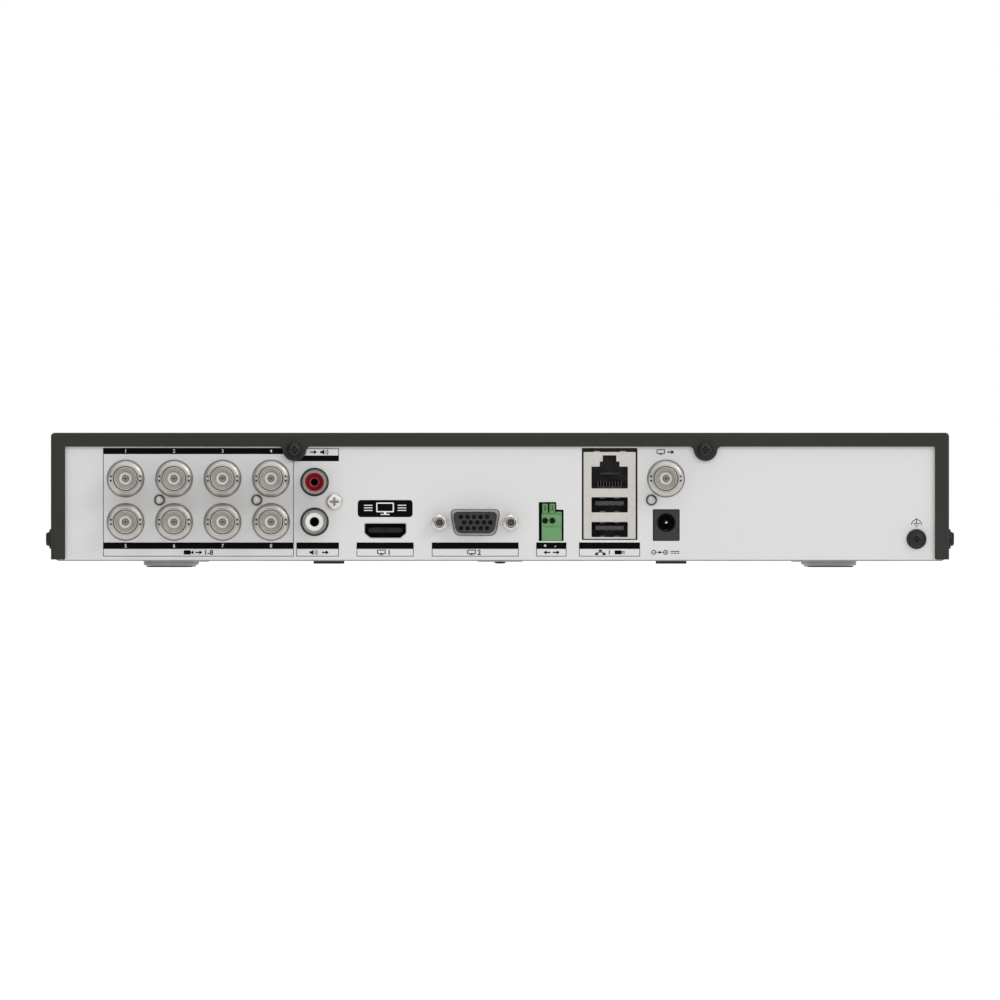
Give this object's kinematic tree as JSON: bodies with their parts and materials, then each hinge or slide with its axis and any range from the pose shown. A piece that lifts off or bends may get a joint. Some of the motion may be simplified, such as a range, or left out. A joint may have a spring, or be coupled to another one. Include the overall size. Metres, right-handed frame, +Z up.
{
  "type": "video recorder",
  "caption": "Flat rectangular video recorder: folded steel case with front bezel, and a rear panel of bayonet video sockets with audio, display, network, serial-bus and power connectors.",
  "frame": {"origin": "on the surface that the rubber feet stand on, under the middle of the bounding box", "axes": "+Z up; the front bezel faces -Y and the connector panel +Y; +X is the right-hand side as seen from the front, so it is on the left when the connectors are viewed"},
  "size_m": [0.319, 0.242, 0.0472],
  "materials": {
    "zinc_steel": "bright zinc-plated sheet, 0.8 mm",
    "dark_paint": "fine-textured dark grey powder coat on 1 mm steel",
    "pale_paint": "smooth light grey paint with black printed labels",
    "bezel_plastic": "fine spark-eroded black moulding",
    "window_plastic": "polished smoked black",
    "light_guide_plastic": "clear moulding",
    "indicator_board": "green solder mask",
    "foot_rubber": "matt black",
    "black_screw": "black zinc plating",
    "plated_screw": "bright nickel plating",
    "barrel_nickel": "nickel-plated zinc casting",
    "sleeve_nickel": "nickel-plated brass",
    "port_nickel": "satin nickel-plated steel",
    "video_block_plastic": "pale grey moulding",
    "port_plastic": "black moulding",
    "audio_red": "red moulding",
    "audio_white": "white moulding",
    "terminal_green": "green moulding",
    "board_green": "green solder mask on glass-fibre laminate",
    "heatsink_metal": "extruded, clear anodised",
    "drive_metal": "bare casting with a brushed lid",
    "cable_plastic": "red extruded lead with moulded plugs"
  },
  "bodies": {
    "chassis": {"base_pan": "zinc_steel", "top_cover": "dark_paint", "rear_panel": "pale_paint", "front_bezel": "bezel_plastic", "indicator_window": "window_plastic", "light_guide": "light_guide_plastic", "indicator_board": "indicator_board", "foot_pad_front_left": "foot_rubber", "foot_pad_front_right": "foot_rubber", "foot_pad_rear_left": "foot_rubber", "foot_pad_rear_right": "foot_rubber", "cover_screw_rear_left": "black_screw", "cover_screw_rear_right": "black_screw", "cover_screw_left_front": "black_screw", "cover_screw_left_back": "black_screw", "cover_screw_right_front": "black_screw", "cover_screw_right_back": "black_screw", "bezel_screw_left": "black_screw", "bezel_screw_centre": "black_screw", "bezel_screw_right": "black_screw", "video_screw_left": "plated_screw", "video_screw_right": "plated_screw", "video_screw_out": "plated_screw", "audio_screw": "plated_screw", "video_socket_1": "barrel_nickel", "video_socket_2": "barrel_nickel", "video_socket_3": "barrel_nickel", "video_socket_4": "barrel_nickel", "video_socket_5": "barrel_nickel", "video_socket_6": "barrel_nickel", "video_socket_7": "barrel_nickel", "video_socket_8": "barrel_nickel", "video_out_socket": "barrel_nickel", "audio_sleeve_in": "sleeve_nickel", "audio_sleeve_out": "sleeve_nickel", "digital_port_shell": "port_nickel", "analog_port_shell": "port_nickel", "analog_port_standoff_left": "port_nickel", "analog_port_standoff_right": "port_nickel", "stack_shield": "port_nickel", "power_pin": "port_nickel", "video_block_left": "video_block_plastic", "video_block_right": "video_block_plastic", "video_out_block": "video_block_plastic", "audio_block": "port_plastic", "digital_port_tongue": "port_plastic", "analog_port_insert": "port_plastic", "stack_housing": "port_plastic", "power_inlet": "port_plastic", "audio_insulator_in": "audio_red", "audio_insulator_out": "audio_white", "terminal_body": "terminal_green", "main_board": "board_green", "heatsink": "heatsink_metal", "hard_drive": "drive_metal", "drive_cable": "cable_plastic"},
    "release_lever_1": {"terminal_lever_1": "terminal_green"},
    "release_lever_2": {"terminal_lever_2": "terminal_green"},
    "earth_clamp": {"earth_washer": "black_screw"},
    "earth_bolt": {"earth_screw": "black_screw"}
  },
  "joints": [
    {"name": "release_push_1", "type": "slide", "parent": "chassis", "child": "release_lever_1", "axis": [0, -1, 0], "range_m": [0, 0.0015], "stiffness_N_per_m": 1500, "springref_m": -0.001},
    {"name": "release_push_2", "type": "slide", "parent": "chassis", "child": "release_lever_2", "axis": [0, -1, 0], "range_m": [0, 0.0015], "stiffness_N_per_m": 1500, "springref_m": -0.001},
    {"name": "earth_clamp_travel", "type": "slide", "parent": "chassis", "child": "earth_clamp", "axis": [0, 1, 0], "range_m": [0, 0.0021]},
    {"name": "earth_screw_turn", "type": "hinge", "parent": "earth_clamp", "child": "earth_bolt", "pos_m": [-0.14606, 0.11, 0.0099], "axis": [0, 1, 0], "range_deg": [0, 1080]}
  ],
  "couplings": [
    {"joint": "earth_screw_turn", "follows": "earth_clamp_travel", "rad_per_m": 8975.9}
  ]
}
